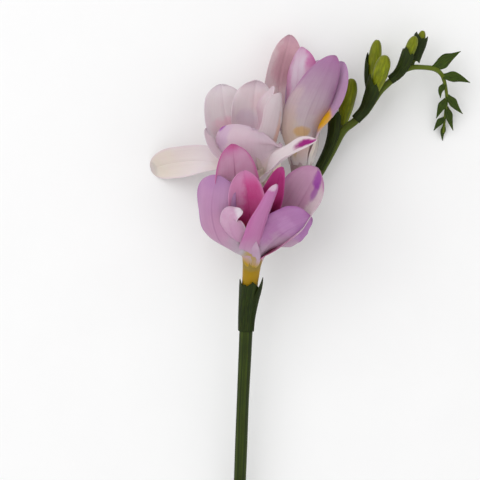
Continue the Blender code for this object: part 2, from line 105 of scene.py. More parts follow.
def srgb(red, green, blue):
    """A linear colour from the 0 to 255 values of a display."""
    channels = [c / 255 for c in (red, green, blue)]
    linear = [c / 12.92 if c < 0.04045 else ((c + 0.055) / 1.055) ** 2.4 for c in channels]
    return (*linear, 1.0)


# The stem and its rachis, from the cut end to the tip: x, y, z, radius.
STEM_ROUTE = [
    (-8.4, -181.0, 2.5, 2.65),
    (-6.6, -140.0, 5.6, 2.55),
    (-4.3, -90.0, 9.6, 2.5),
    (-3.0, -55.0, 12.8, 2.5),
    (-2.0, -33.0, 15.0, 2.6),
    (-1.3, -18.0, 16.8, 2.75),
    (-0.4, -9.5, 17.2, 2.6),
    (1.5, -1.0, 14.2, 2.1),
    (3.4, 6.0, 11.0, 1.95),
    (9.6, 17.0, 7.6, 1.9),
    (17.6, 25.0, 6.0, 1.9),
    (23.0, 33.5, 6.4, 1.85),
    (28.4, 41.5, 8.4, 1.8),
    (33.2, 50.0, 10.4, 1.75),
    (37.6, 58.0, 12.4, 1.65),
    (42.2, 61.8, 13.6, 1.55),
    (46.6, 65.6, 14.2, 1.5),
    (49.8, 70.2, 14.6, 1.5),
    (53.0, 74.6, 15.0, 1.4),
    (57.4, 78.6, 15.4, 1.3),
    (61.2, 82.0, 15.8, 1.25),
    (65.4, 83.7, 15.4, 1.1),
    (70.0, 83.9, 14.2, 1.0),
    (74.8, 83.4, 12.6, 1.05),
    (77.8, 81.4, 11.0, 0.9),
    (79.3, 78.0, 9.2, 0.75),
    (80.3, 73.0, 7.0, 0.65),
    (80.2, 68.0, 5.0, 0.6),
    (79.7, 62.0, 3.0, 0.5),
    (79.4, 58.0, 1.8, 0.45),
]

Petal = namedtuple("Petal", "azimuth route width widest cup twist look ruffle point")
Bloom = namedtuple("Bloom", "name base throat radii flare root_angle petals slot")

# Each petal: azimuth round the tube (0 faces up from the table, 90 is the right of the spike),
# the route of its mid-rib past the throat, its half width along the surface, where along it
# that is, the half-angles of its cup at the middle and the tip, its twist in degrees, its
# colouring, how far its margin waves in millimetres, and how blunt its tip is.
# Each bloom: the foot and the throat of its tube, its radii there, how late it widens, the
# half-angle that the root of a petal spans, its petals and its slot.
BLOOM_A = Bloom(
    "bloom_a",
    base=(-0.1, -4.6, 20.2),
    throat=(1.1, 8.0, 26.6),
    radii=(3.2, 4.2),
    flare=1.5,
    root_angle=54.0,
    petals=[
        Petal(308, [(-6.6, 9.6, 30.0), (-12.4, 14.6, 32.4), (-15.0, 26.0, 34.5),
                    (-13.0, 39.4, 36.8)],
              9.6, 0.55, (46, 34), 24, "left_outer", 0.5, 6.0),
        Petal(195, [(-3.2, 18.0, 26.4), (-5.6, 36.0, 31.6), (-6.8, 51.8, 36.5)], 9.8, 0.6, (38, 34),
              0, "back", 0.4, 2.4),
        Petal(176, [(0.4, 17.0, 29.0), (-0.6, 29.0, 34.5), (-2.4, 41.4, 40.0)], 8.8, 0.6, (54, 44),
              0, "centre", 0.3, 2.4),
        Petal(332, [(-3.4, 11.5, 34.5), (-7.2, 17.4, 39.2), (-7.8, 23.4, 42.2), (-3.2, 25.6, 43.2)],
              7.0, 0.4, (46, 20), 0, "front", 0.3, 1.6),
        Petal(18, [(3.2, 12.5, 35.4), (6.0, 23.0, 42.2), (10.4, 35.6, 47.0)], 8.2, 0.4, (46, 38),
              40, "front_right", 0.5, 1.9),
        Petal(108, [(10.6, 14.0, 28.5), (19.8, 28.6, 33.0), (27.0, 42.0, 37.6)], 10.6, 0.7,
              (36, 24), 30, "far_right", 0.5, 2.4),
        Petal(60, [(7.4, 12.0, 34.0), (13.6, 17.2, 38.0), (19.8, 20.6, 39.6), (24.2, 22.6, 39.8)],
              9.8, 0.6, (32, 26), -58, "near_right", 0.5, 2.8),
        Petal(146, [(4.6, 16.5, 29.4), (8.8, 29.0, 35.2), (12.8, 42.6, 41.4)], 6.4, 0.5, (48, 36),
              0, "deep", 0.3, 1.8),
    ],
    slot="pink_petal",
)
BLOOM_B = Bloom(
    "bloom_b",
    base=(8.6, 21.4, 12.6),
    throat=(4.0, 40.6, 19.4),
    radii=(1.9, 4.4),
    flare=1.5,
    root_angle=50.0,
    petals=[
        Petal(350, [(-0.6, 46.0, 27.4), (-1.0, 52.6, 30.4), (0.8, 58.4, 31.0)], 15.6, 0.56,
              (58, 50), 0, "white_front_with_painted_light", 0.5, 6.0),
        Petal(78, [(8.0, 48.0, 23.6), (10.4, 60.0, 27.2), (12.4, 72.4, 28.0)], 8.4, 0.56, (46, 40),
              -30, "white_peach", 0.9, 2.6),
        Petal(116, [(6.0, 50.0, 20.0), (7.4, 62.0, 21.6), (9.0, 75.6, 23.0)], 6.2, 0.62, (40, 36),
              0, "white_rosy", 1.2, 2.4),
        Petal(182, [(2.4, 51.0, 16.6), (1.4, 65.0, 17.0), (2.4, 78.4, 18.0)], 9.8, 0.66, (40, 30),
              0, "white_middle", 1.3, 2.4),
        Petal(226, [(-2.4, 50.0, 16.6), (-9.6, 63.0, 15.6), (-11.4, 76.8, 16.0)], 11.4, 0.62,
              (40, 30), -24, "white_left", 0.8, 2.6),
        Petal(270, [(-5.6, 46.2, 20.8), (-12.4, 52.4, 21.0), (-17.6, 58.8, 21.0)], 10.2, 0.56,
              (38, 30), -34, "white", 0.4, 2.4),
        Petal(290, [(-5.2, 43.4, 21.0), (-18.6, 46.0, 17.4), (-31.0, 45.6, 6.4),
                    (-40.6, 43.4, -1.6)],
              6.8, 0.72, (36, 30), -62, "white_back", 0.2, 2.4),
        Petal(48, [(5.4, 37.8, 25.6), (10.6, 44.0, 31.0), (18.8, 50.2, 35.0), (26.4, 53.4, 37.0)],
              5.6, 0.5, (56, 44), 30, "white_stripe", 0.4, 2.0),
    ],
    slot="white_petal",
)
BLOOM_C = Bloom(
    "bloom_c",
    base=(20.6, 27.6, 13.0),
    throat=(20.6, 51.0, 16.4),
    radii=(1.9, 5.6),
    flare=1.0,
    root_angle=54.0,
    petals=[
        Petal(236, [(14.4, 62.0, 10.0), (11.8, 77.0, 7.6), (16.4, 97.4, 9.0)], 9.6, 0.56, (40, 30),
              -26, "mauve_with_painted_light", 0.4, 2.4),
        Petal(322, [(18.2, 62.0, 19.4), (19.2, 78.0, 20.4), (20.8, 91.6, 19.4)], 9.2, 0.6, (50, 42),
              0, "pink_sides", 0.4, 2.2),
        Petal(22, [(21.8, 60.0, 23.6), (26.2, 72.0, 27.4), (34.0, 87.6, 26.4)], 10.0, 0.44,
              (50, 36), -14, "lilac_top", 0.4, 1.6),
        Petal(96, [(27.0, 61.0, 18.5), (34.2, 72.0, 21.0), (37.0, 85.6, 21.4)], 8.4, 0.56, (44, 36),
              40, "lilac_yellow", 0.3, 2.4),
        Petal(168, [(23.6, 62.0, 9.0), (27.0, 76.0, 2.0), (30.0, 87.6, -1.6)], 8.6, 0.64, (42, 34),
              0, "lilac_back", 0.3, 2.4),
        Petal(202, [(19.6, 62.0, 9.0), (20.6, 77.0, 5.0), (24.0, 88.0, 3.0)], 7.6, 0.62, (42, 34),
              0, "lilac_back", 0.3, 2.4),
    ],
    slot="lilac_petal",
)
BLOOMS = [BLOOM_A, BLOOM_B, BLOOM_C]

# How a petal is coloured: at its tube, base, body and tip, along its margin and inside its
# throat, with how far those two reach, how dark its mid-rib is, and its soft spots.
Look = namedtuple(
    "Look",
    "tube base body tip edge edge_width throat throat_reach rib marks",
    defaults=(0.3, ()),
)
# A soft spot on a petal: its centre across and along it, its half size both ways, its colour and
# how much of it shows.
Mark = namedtuple("Mark", "across along wide long colour share")

YELLOW = srgb(178, 143, 4)
BRIGHT_YELLOW = srgb(224, 172, 14)
CREAM = srgb(214, 202, 186)
GREY_WHITE = srgb(198, 190, 186)
WHITE = srgb(218, 208, 210)
BLUSH = srgb(214, 194, 202)
ROSE = srgb(214, 176, 190)
PINK = srgb(190, 140, 172)
SOFT_PINK = srgb(194, 152, 178)
LILAC = srgb(176, 130, 172)
PALE_LILAC = srgb(196, 172, 192)
PURPLE = srgb(140, 62, 150)
MAGENTA = srgb(184, 60, 124)
DEEP_MAGENTA = srgb(140, 18, 80)
STRIPE_MAGENTA = srgb(146, 20, 116)
ORANGE_RED = srgb(226, 100, 58)
PEACH = srgb(200, 170, 140)
TAN = srgb(186, 148, 92)

# The looks of the three tubes, then those of the petals.
LOOKS = {
    "bloom_a": Look(
        tube=YELLOW, base=srgb(160, 132, 40),
        body=PINK, tip=PINK,
        edge=srgb(150, 118, 10), edge_width=0.1,
        throat=MAGENTA, throat_reach=0.1,
        rib=0.3,
        marks=(
            Mark(0.5, 0.06, 4.0, 0.04, srgb(150, 140, 84), 0.5),
        ),
    ),
    "bloom_b": Look(
        tube=CREAM, base=CREAM,
        body=WHITE, tip=WHITE,
        edge=BLUSH, edge_width=0.1,
        throat=ROSE, throat_reach=0.1,
    ),
    "bloom_c": Look(
        tube=srgb(168, 150, 144), base=GREY_WHITE,
        body=GREY_WHITE, tip=WHITE,
        edge=PALE_LILAC, edge_width=0.1,
        throat=SOFT_PINK, throat_reach=0.1,
    ),
    "left_outer": Look(
        tube=YELLOW, base=srgb(178, 166, 174),
        body=srgb(178, 132, 164), tip=srgb(184, 142, 180),
        edge=srgb(162, 114, 162), edge_width=0.2,
        throat=MAGENTA, throat_reach=0.4,
        rib=0.3,
        marks=(
            Mark(0.55, 0.45, 0.3, 0.22, srgb(188, 142, 172), 0.5),
        ),
    ),
    "back": Look(
        tube=YELLOW, base=PINK,
        body=srgb(198, 164, 182), tip=srgb(192, 146, 174),
        edge=srgb(178, 74, 138), edge_width=0.12,
        throat=MAGENTA, throat_reach=0.4,
        rib=0.9,
        marks=(
            Mark(0.5, 1.0, 0.5, 0.05, MAGENTA, 0.45),
        ),
    ),
    "centre": Look(
        tube=YELLOW, base=ORANGE_RED,
        body=srgb(198, 58, 128), tip=srgb(200, 84, 148),
        edge=srgb(204, 136, 178), edge_width=0.18,
        throat=ORANGE_RED, throat_reach=0.5,
        rib=0.2,
        marks=(
            Mark(0.8, 0.8, 0.3, 0.3, srgb(212, 156, 192), 0.75),
        ),
    ),
    "front": Look(
        tube=YELLOW, base=srgb(184, 154, 178),
        body=srgb(190, 140, 174), tip=srgb(196, 154, 182),
        edge=srgb(224, 206, 218), edge_width=0.07,
        throat=DEEP_MAGENTA, throat_reach=1.1,
        rib=0.25,
        marks=(
            Mark(0.5, 0.98, 0.9, 0.08, srgb(226, 210, 222), 0.8),
        ),
    ),
    "front_right": Look(
        tube=YELLOW, base=srgb(190, 156, 180),
        body=srgb(186, 118, 166), tip=srgb(192, 130, 180),
        edge=srgb(182, 102, 158), edge_width=0.16,
        throat=DEEP_MAGENTA, throat_reach=1.1,
        rib=0.3,
        marks=(
            Mark(1.0, 0.6, 0.3, 0.4, srgb(146, 40, 84), 0.85),
            Mark(0.3, 0.97, 0.5, 0.05, srgb(222, 204, 216), 0.7),
        ),
    ),
    "far_right": Look(
        tube=YELLOW, base=srgb(168, 90, 130),
        body=srgb(184, 144, 168), tip=srgb(184, 146, 172),
        edge=srgb(160, 98, 144), edge_width=0.1,
        throat=DEEP_MAGENTA, throat_reach=0.3,
        rib=0.3,
        marks=(
            Mark(0.12, 0.66, 0.25, 0.3, srgb(200, 188, 190), 0.85),
            Mark(0.34, 0.95, 0.2, 0.12, PURPLE, 0.9),
            Mark(0.3, 0.82, 0.1, 0.1, PURPLE, 0.7),
        ),
    ),
    "near_right": Look(
        tube=YELLOW, base=srgb(184, 166, 176),
        body=srgb(176, 122, 168), tip=srgb(172, 124, 172),
        edge=srgb(150, 84, 148), edge_width=0.1,
        throat=srgb(150, 108, 84), throat_reach=0.45,
        rib=0.2,
        marks=(
            Mark(0.85, 0.45, 0.5, 0.3, srgb(176, 148, 166), 0.8),
            Mark(0.8, 0.84, 0.3, 0.2, srgb(150, 92, 160), 0.4),
            Mark(0.5, 0.7, 0.4, 0.1, srgb(186, 140, 184), 0.5),
        ),
    ),
    "deep": Look(
        tube=YELLOW, base=ORANGE_RED,
        body=srgb(152, 24, 88), tip=srgb(160, 42, 112),
        edge=srgb(174, 66, 132), edge_width=0.14,
        throat=DEEP_MAGENTA, throat_reach=0.6,
    ),
    "white": Look(
        tube=CREAM, base=CREAM,
        body=WHITE, tip=BLUSH,
        edge=srgb(206, 188, 200), edge_width=0.1,
        throat=ROSE, throat_reach=0.8,
        rib=0.1,
    ),
    "white_left": Look(
        tube=CREAM, base=CREAM,
        body=WHITE, tip=WHITE,
        edge=srgb(206, 188, 200), edge_width=0.1,
        throat=ROSE, throat_reach=0.8,
        rib=0.1,
        marks=(
            Mark(0.45, 0.62, 0.5, 0.1, srgb(222, 178, 192), 0.7),
        ),
    ),
    "white_middle": Look(
        tube=CREAM, base=ROSE,
        body=WHITE, tip=srgb(218, 202, 206),
        edge=srgb(208, 188, 198), edge_width=0.1,
        throat=ROSE, throat_reach=0.8,
        rib=0.1,
        marks=(
            Mark(0.65, 0.6, 0.3, 0.14, srgb(196, 178, 196), 0.6),
            Mark(0.3, 0.8, 0.3, 0.14, srgb(222, 190, 196), 0.5),
        ),
    ),
    "white_rosy": Look(
        tube=CREAM, base=ROSE,
        body=ROSE, tip=WHITE,
        edge=srgb(212, 182, 196), edge_width=0.14,
        throat=ROSE, throat_reach=0.9,
        rib=0.1,
    ),
    # Bloom B's front petal: its base is painted paler than its own cream. This is painted light
    # that offsets the shadow bloom A casts over it.
    "white_front_with_painted_light": Look(
        tube=CREAM, base=srgb(246, 230, 206),
        body=srgb(210, 190, 198), tip=srgb(202, 178, 190),
        edge=srgb(200, 166, 188), edge_width=0.08,
        throat=ROSE, throat_reach=0.8,
        rib=0.1,
        marks=(
            Mark(0.03, 0.87, 0.05, 0.05, srgb(150, 56, 160), 0.95),
            Mark(0.12, 0.76, 0.12, 0.2, srgb(186, 148, 188), 0.45),
        ),
    ),
    "white_peach": Look(
        tube=CREAM, base=srgb(206, 186, 168),
        body=srgb(196, 180, 184), tip=srgb(204, 192, 196),
        edge=srgb(200, 176, 184), edge_width=0.1,
        throat=ROSE, throat_reach=0.8,
        rib=0.1,
        marks=(
            Mark(0.62, 0.5, 0.16, 0.3, srgb(204, 160, 146), 0.8),
        ),
    ),
    "white_back": Look(
        tube=CREAM, base=CREAM,
        body=WHITE, tip=CREAM,
        edge=BLUSH, edge_width=0.1,
        throat=CREAM, throat_reach=0.4,
        rib=0.15,
    ),
    "white_stripe": Look(
        tube=CREAM, base=CREAM,
        body=WHITE, tip=WHITE,
        edge=BLUSH, edge_width=0.08,
        throat=CREAM, throat_reach=0.4,
        rib=0.1,
        marks=(
            Mark(0.6, 0.9, 0.3, 0.17, STRIPE_MAGENTA, 1.0),
        ),
    ),
    # Bloom C's lowest petal: its own colour is a whitish mauve with pink-brown margins and a darker
    # band near the tip. Its base, body and two pale spots are painted lighter, as painted light
    # that offsets the shade the petals above cast on it.
    "mauve_with_painted_light": Look(
        tube=GREY_WHITE, base=srgb(228, 214, 212),
        body=srgb(234, 200, 206), tip=srgb(208, 166, 176),
        edge=srgb(196, 152, 166), edge_width=0.08,
        throat=srgb(232, 214, 214), throat_reach=0.3,
        rib=0.2,
        marks=(
            Mark(0.5, 0.4, 0.9, 0.3, srgb(238, 222, 220), 0.7),
            Mark(0.95, 0.6, 0.35, 0.4, srgb(232, 216, 216), 0.7),
            Mark(0.45, 0.75, 0.4, 0.16, srgb(190, 148, 160), 0.6),
        ),
    ),
    "pink_sides": Look(
        tube=GREY_WHITE, base=srgb(200, 180, 168),
        body=srgb(190, 160, 180), tip=srgb(204, 190, 202),
        edge=srgb(186, 110, 160), edge_width=0.14,
        throat=SOFT_PINK, throat_reach=0.3,
        rib=0.15,
        marks=(
            Mark(0.0, 0.6, 0.36, 0.5, srgb(188, 116, 162), 0.7),
            Mark(1.0, 0.75, 0.34, 0.4, srgb(186, 96, 154), 0.8),
        ),
    ),
    "lilac_top": Look(
        tube=GREY_WHITE, base=srgb(186, 178, 170),
        body=srgb(184, 168, 174), tip=srgb(154, 104, 150),
        edge=srgb(158, 100, 146), edge_width=0.08,
        throat=SOFT_PINK, throat_reach=0.3,
        rib=0.15,
        marks=(
            Mark(0.14, 0.26, 0.26, 0.24, PEACH, 0.45),
            Mark(0.34, 0.12, 0.34, 0.08, srgb(186, 158, 118), 0.7),
            Mark(0.46, 0.3, 0.2, 0.05, TAN, 0.8),
            Mark(0.1, 0.48, 0.2, 0.2, srgb(194, 170, 170), 0.5),
        ),
    ),
    "lilac_yellow": Look(
        tube=GREY_WHITE, base=CREAM,
        body=srgb(190, 156, 186), tip=srgb(186, 150, 184),
        edge=srgb(168, 124, 170), edge_width=0.14,
        throat=SOFT_PINK, throat_reach=0.3,
        rib=0.2,
        marks=(
            Mark(0.6, 0.44, 1.0, 0.13, BRIGHT_YELLOW, 1.0),
        ),
    ),
    "lilac_back": Look(
        tube=GREY_WHITE, base=GREY_WHITE,
        body=PALE_LILAC, tip=PALE_LILAC,
        edge=LILAC, edge_width=0.1,
        throat=PALE_LILAC, throat_reach=0.3,
    ),
}

# The dark, light and tip colours of the green parts and of the stamens.
STEM_GREENS = srgb(32, 44, 12), srgb(62, 76, 18), srgb(120, 136, 34)
TIP_GREENS = srgb(42, 58, 14), srgb(72, 92, 24), srgb(62, 82, 22)
BRACT_GREENS = srgb(26, 36, 8), srgb(50, 64, 12), srgb(38, 50, 12)
BUD_GREENS = srgb(98, 106, 12), srgb(138, 148, 24), srgb(108, 112, 16)
THREAD_CREAMS = srgb(226, 206, 160), srgb(240, 228, 196), srgb(236, 220, 180)
POLLEN_CREAMS = srgb(206, 176, 120), srgb(232, 210, 160), srgb(220, 190, 140)
STEM_RIBS = 18.0
BUD_RIBS = 16.0

Bud = namedtuple("Bud", "name route radius")
# Each bud: the route of its middle and its radius where it is thickest.
BUDS = [
    Bud("bud_1", [(37.4, 60.6, 8.2), (39.2, 68.0, 8.4), (40.7, 74.0, 9.0), (41.6, 79.6, 9.8)], 3.0),
    Bud("bud_2_front", [(50.2, 74.6, 19.0), (51.8, 78.8, 20.0), (53.2, 83.4, 20.6),
                        (54.6, 88.2, 20.4)],
        3.1),
    Bud("bud_2_back", [(50.6, 74.4, 11.0), (50.2, 80.0, 9.5), (50.9, 88.0, 9.2), (51.9, 95.4, 9.8)],
        2.6),
    Bud("bud_3_front", [(62.4, 85.0, 17.8), (63.8, 88.8, 18.8), (65.3, 92.6, 19.2),
                        (66.6, 96.0, 19.0)],
        2.2),
    Bud("bud_3_back", [(66.2, 86.8, 14.6), (67.6, 90.6, 13.6), (69.2, 95.0, 13.2),
                       (70.2, 98.8, 13.6)],
        1.8),
]

Bract = namedtuple("Bract", "azimuth axis half_angle teeth")
# Each bract clasps an axis (x, y, z and the radius at which it wraps round it) and ends in
# teeth: where each is across the bract, from -1 to 1, and its height as a share of the axis.
BRACTS = {
    "bracts_bloom_a": [
        Bract(-30, [(-1.6, -22.6, 16.2, 2.95), (-1.3, -17.0, 17.0, 3.2), (-0.6, -10.0, 18.2, 3.7),
                    (0.0, -4.0, 20.4, 4.1), (0.2, -0.8, 22.0, 4.3)],
              88, [(-0.5, 0.98), (0.0, 0.93), (0.5, 1.0)]),
        Bract(60, [(-1.6, -22.6, 16.2, 3.0), (-1.3, -17.0, 17.0, 3.3), (-0.4, -9.6, 18.3, 3.9),
                   (0.6, -3.6, 20.6, 4.5), (1.2, 0.6, 22.2, 4.8)],
              30, [(0.0, 1.0)]),
    ],
    "bracts_bloom_b": [
        Bract(-10, [(8.9, 20.2, 12.2, 2.6), (8.5, 22.0, 12.8, 2.9), (7.7, 25.4, 14.0, 3.0),
                    (6.7, 29.6, 15.5, 3.3)],
              92, [(-0.25, 1.0), (0.5, 0.9)]),
    ],
    "bracts_bloom_c": [
        Bract(0, [(20.6, 26.4, 12.8, 2.6), (20.6, 28.0, 13.1, 3.0), (20.6, 31.0, 13.5, 3.8),
                  (20.6, 34.6, 14.0, 4.5)],
              92, [(-0.25, 1.0), (0.5, 0.9)]),
    ],
    "bracts_bud_1": [
        Bract(-66, [(29.2, 42.8, 8.7, 2.6), (33.0, 50.5, 9.9, 2.9), (35.2, 57.0, 11.0, 3.5),
                    (35.6, 62.0, 10.8, 3.8), (35.8, 66.0, 10.6, 3.8)],
              84, [(-0.5, 0.86), (0.25, 0.92), (0.75, 1.0)]),
    ],
    "bracts_bud_2_front": [
        Bract(-44, [(43.4, 62.4, 13.8, 2.45), (46.8, 66.4, 14.6, 2.6), (49.0, 70.8, 16.4, 3.2),
                    (50.6, 75.4, 19.0, 3.7), (51.8, 80.4, 20.6, 3.9)],
              80, [(-0.75, 0.94), (-0.25, 1.0), (0.5, 0.86)]),
    ],
    "bracts_bud_2_back": [
        Bract(-104, [(50.4, 75.0, 10.7, 2.9), (49.9, 80.0, 9.6, 3.1), (50.1, 85.0, 9.2, 3.1),
                     (50.7, 90.2, 9.2, 3.0)],
              66, [(-0.25, 1.0), (0.5, 0.8)]),
    ],
    "bracts_bud_3_front": [
        Bract(-40, [(57.0, 78.4, 15.4, 2.0), (59.8, 80.6, 15.8, 2.2), (62.0, 83.6, 17.0, 2.6),
                    (63.6, 87.4, 18.4, 2.9), (64.8, 91.6, 19.2, 2.9)],
              88, [(-0.5, 0.93), (0.0, 1.0), (0.75, 0.88)]),
    ],
    "bracts_bud_3_back": [
        Bract(-6, [(66.2, 86.2, 14.2, 2.3), (67.2, 89.6, 13.4, 2.6), (68.6, 93.6, 13.1, 2.8),
                   (69.7, 97.8, 13.4, 2.7)],
              100, [(-0.5, 1.0), (0.25, 0.86), (0.75, 0.94)]),
    ],
}

# Where the short ovary of each bloom and bud leaves the rachis: x, y, z and its radius.
OVARY_ROOTS = {
    "bloom_a": (-0.7, -10.0, 17.3, 2.5),
    "bloom_b": (8.6, 15.4, 8.0, 1.7),
    "bloom_c": (19.0, 25.4, 6.4, 1.5),
    "bud_1": (34.0, 51.4, 10.6, 1.4),
    "bud_2_front": (48.9, 69.0, 14.5, 1.2),
    "bud_2_back": (48.8, 68.8, 14.4, 1.2),
    "bud_3_front": (60.6, 81.4, 15.7, 1.0),
    "bud_3_back": (65.2, 83.7, 15.4, 0.9),
}

Leaflet = namedtuple("Leaflet", "route width facing")
# Each small bract at the end of the spike: its route, half width and the way its face looks.
TIP_BRACTS = [
    Leaflet([(74.0, 83.5, 12.8), (80.0, 87.6, 12.4), (85.6, 90.6, 11.4)], 2.7, (0.3, -0.4, 0.9)),
    Leaflet([(75.0, 83.2, 12.4), (78.4, 88.4, 11.4), (81.6, 89.8, 10.8)], 2.0, (0.4, -0.6, 0.9)),
    Leaflet([(78.4, 80.4, 10.8), (84.4, 79.8, 10.4), (89.6, 78.1, 9.4)], 2.3, (0.1, 0.3, 0.9)),
    Leaflet([(79.4, 77.6, 9.2), (77.7, 74.6, 9.2), (77.6, 71.8, 8.8)], 1.3, (-0.6, -0.2, 0.9)),
    Leaflet([(80.4, 72.8, 7.0), (83.8, 68.6, 6.2), (87.0, 65.6, 5.2)], 2.0, (0.3, 0.3, 0.9)),
    Leaflet([(80.2, 71.6, 6.6), (77.8, 67.2, 6.2), (76.2, 63.8, 5.6)], 1.7, (-0.3, 0.2, 0.9)),
    Leaflet([(80.2, 68.4, 5.2), (81.6, 63.4, 4.2), (83.3, 58.9, 3.4)], 1.8, (0.4, 0.2, 0.9)),
    Leaflet([(79.9, 64.0, 3.8), (77.4, 61.6, 3.2), (75.4, 58.9, 2.6)], 1.5, (-0.3, 0.4, 0.9)),
    Leaflet([(79.6, 61.2, 2.8), (79.0, 57.8, 1.4), (79.3, 54.9, 0.0)], 1.2, (0.4, 0.2, 0.9)),
]


def unit(v):
    """The direction of v, one long."""
    v = np.asarray(v, float)
    return v / np.linalg.norm(v)


def smooth(points, shares):
    """Points at the given shares of the length of a smooth curve through the given ones."""
    p = np.asarray(points, float)
    ends = [2 * p[0] - p[1], *p, 2 * p[-1] - p[-2]]
    fine = []
    for a, b, c, d in zip(ends, ends[1:], ends[2:], ends[3:]):
        square, cube = 2 * a - 5 * b + 4 * c - d, 3 * b - a - 3 * c + d
        for t in np.linspace(0, 1, CURVE_STEPS, endpoint=False):
            fine.append(0.5 * (2 * b + (c - a) * t + square * t**2 + cube * t**3))
    fine = np.array([*fine, p[-1]])
    steps = np.linalg.norm(np.diff(fine[:, :3], axis=0), axis=1)
    along = np.concatenate([[0], np.cumsum(steps)])
    wanted = np.asarray(shares) * along[-1]
    return np.stack([np.interp(wanted, along, fine[:, i]) for i in range(p.shape[1])], axis=1)


def tangents(line):
    """The direction of travel at each point of a line."""
    return np.array([unit(t) for t in np.gradient(line[:, :3], axis=0)])


def ease(x):
    """0 to 1, level at both ends."""
    x = np.clip(x, 0, 1)
    return x * x * (3 - 2 * x)


def three_way(u, values, middle):
    """Blends from the first value through the second, at middle, to the third."""
    low, mid, high = values
    if u < middle:
        return low + (mid - low) * ease(u / middle)
    return mid + (high - mid) * ease((u - middle) / (1 - middle))


def axes_across(direction):
    """Two directions across a stalk: the one nearest straight up, and its right."""
    front = unit(UP - np.dot(UP, direction) * np.asarray(direction))
    return front, np.cross(direction, front)


def outline(u, root, petal):
    """Half width of a petal at u, from its root to its rounded tip."""
    width, widest = petal.width, petal.widest
    if u < widest:
        return root + (width - root) * math.sin(math.pi / 2 * u / widest) ** 0.9
    q = (u - widest) / (1 - widest)
    return width * max(1 - q**petal.point, 0.0) ** 0.52


def tube_radius(bloom, t):
    """Outside radius of a bloom's tube, t from its foot to its throat."""
    narrow, wide = bloom.radii
    return narrow + (wide - narrow) * t**bloom.flare


def petal_grid(bloom, petal, rows, columns, seed):
    """The middle surface of one petal, with a grooved mid-rib and a softly waved margin."""
    chance = random.Random(seed)
    phase = [chance.uniform(0, 2 * math.pi) for _ in range(6)]
    axis = unit(np.subtract(bloom.throat, bloom.base))
    front, right = axes_across(axis)
    angle = math.radians(petal.azimuth)
    outward = math.cos(angle) * front + math.sin(angle) * right
    side0 = -math.sin(angle) * front + math.cos(angle) * right
    length = np.linalg.norm(np.subtract(bloom.throat, bloom.base))
    radius = bloom.radii[1] - WALL / 2
    start = np.asarray(bloom.base) + axis * length * PETAL_ROOT
    low = start + outward * (tube_radius(bloom, PETAL_ROOT) - WALL / 2)
    rim = np.asarray(bloom.throat) + outward * radius
    shares = 1 - (1 - np.linspace(0, 1, rows)) ** ROW_CROWDING
    line = smooth([low, rim, *petal.route], shares)
    facing = tangents(line)
    grid = np.zeros((rows, columns, 3))
    across = np.linspace(-1, 1, columns)
    across = np.sign(across) * (1 - (1 - np.abs(across)) ** COLUMN_CROWDING)
    waves = 2 * math.pi * (2.6 + 0.5 * math.sin(phase[0]))
    for i, (u, centre, along) in enumerate(zip(shares, line, facing)):
        side = unit(side0 - np.dot(side0, along) * along)
        inner = np.cross(along, side)
        turn = math.radians(petal.twist) * ease(u / 0.55)
        side, inner = (
            math.cos(turn) * side + math.sin(turn) * inner,
            math.cos(turn) * inner - math.sin(turn) * side,
        )
        half = max(outline(u, radius * math.radians(bloom.root_angle), petal), 0.2)
        cup = math.radians(three_way(u, (bloom.root_angle, *petal.cup), petal.widest))
        bend = half / cup
        free = ease((u - 0.2) / 0.4)
        for j, v in enumerate(across):
            phi = cup * v
            wave = abs(v) ** 3 * math.sin(waves * u + phase[1 + (v > 0)])
            swell = 0.5 * math.sin(2.2 * v + 3.1 * u + phase[3]) * math.sin(4.3 * u + phase[4])
            groove = -0.34 * math.exp(-((v / 0.07) ** 2)) * (1 - 0.5 * u)
            lift = free * (petal.ruffle * (wave + 0.6 * swell) + groove)
            nod = 0.03 * petal.width * abs(v) * math.sin(9 * v + phase[5]) * ease((u - 0.7) / 0.3)
            grid[i, j] = (
                centre
                + side * bend * math.sin(phi)
                + inner * (bend * (1 - math.cos(phi)) + lift)
                + along * nod
            )
    grid[:, :, 2] = np.maximum(grid[:, :, 2], PETAL_THICKNESS / 2)
    return grid, shares, across


def tooth_height(teeth, v):
    """How far a bract reaches at v across it, as a share of its axis."""
    return max(height - TOOTH_SLOPE * abs(v - place) for place, height in teeth)


def bract_grid(bract, rows, columns):
    """The middle surface of a bract, which clasps its axis and ends in teeth."""
    shares = np.linspace(0, 1, rows)
    across = np.linspace(-1, 1, columns)
    grid = np.zeros((rows, columns, 3))
    for j, v in enumerate(across):
        line = smooth(bract.axis, shares * tooth_height(bract.teeth, v))
        phi = math.radians(bract.azimuth + bract.half_angle * v)
        rib = 0.06 * math.cos(18 * math.pi * v)
        for i, (station, along) in enumerate(zip(line, tangents(line))):
            front, right = axes_across(along)
            outward = math.cos(phi) * front + math.sin(phi) * right
            grid[i, j] = station[:3] + (station[3] + rib) * outward
    return grid, shares, across


def leaflet_grid(leaflet, rows, columns):
    """The middle surface of one small bract at the end of the spike."""
    shares = np.linspace(0, 1, rows)
    across = np.linspace(-1, 1, columns)
    line = smooth(leaflet.route, shares)
    facing = tangents(line)
    grid = np.zeros((rows, columns, 3))
    for i, (u, centre, along) in enumerate(zip(shares, line, facing)):
        face = unit(np.asarray(leaflet.facing) - np.dot(leaflet.facing, along) * along)
        side = np.cross(face, along)
        half = max(leaflet.width * min(0.5 + 0.5 * ease(u / 0.35), 1.0, (1 - u) / 0.6), 0.15)
        for j, v in enumerate(across):
            fold = 0.35 * half * v * v + 0.05 * half * math.cos(10 * math.pi * v)
            grid[i, j] = centre + side * half * v + face * fold
    grid[:, :, 2] = np.maximum(grid[:, :, 2], BRACT_THICKNESS / 2)
    return grid, shares, across


def grid_normals(grid):
    """The unit normal at each point of a grid."""
    across = np.cross(np.gradient(grid, axis=0), np.gradient(grid, axis=1))
    return across / np.maximum(np.linalg.norm(across, axis=2, keepdims=True), 1e-9)


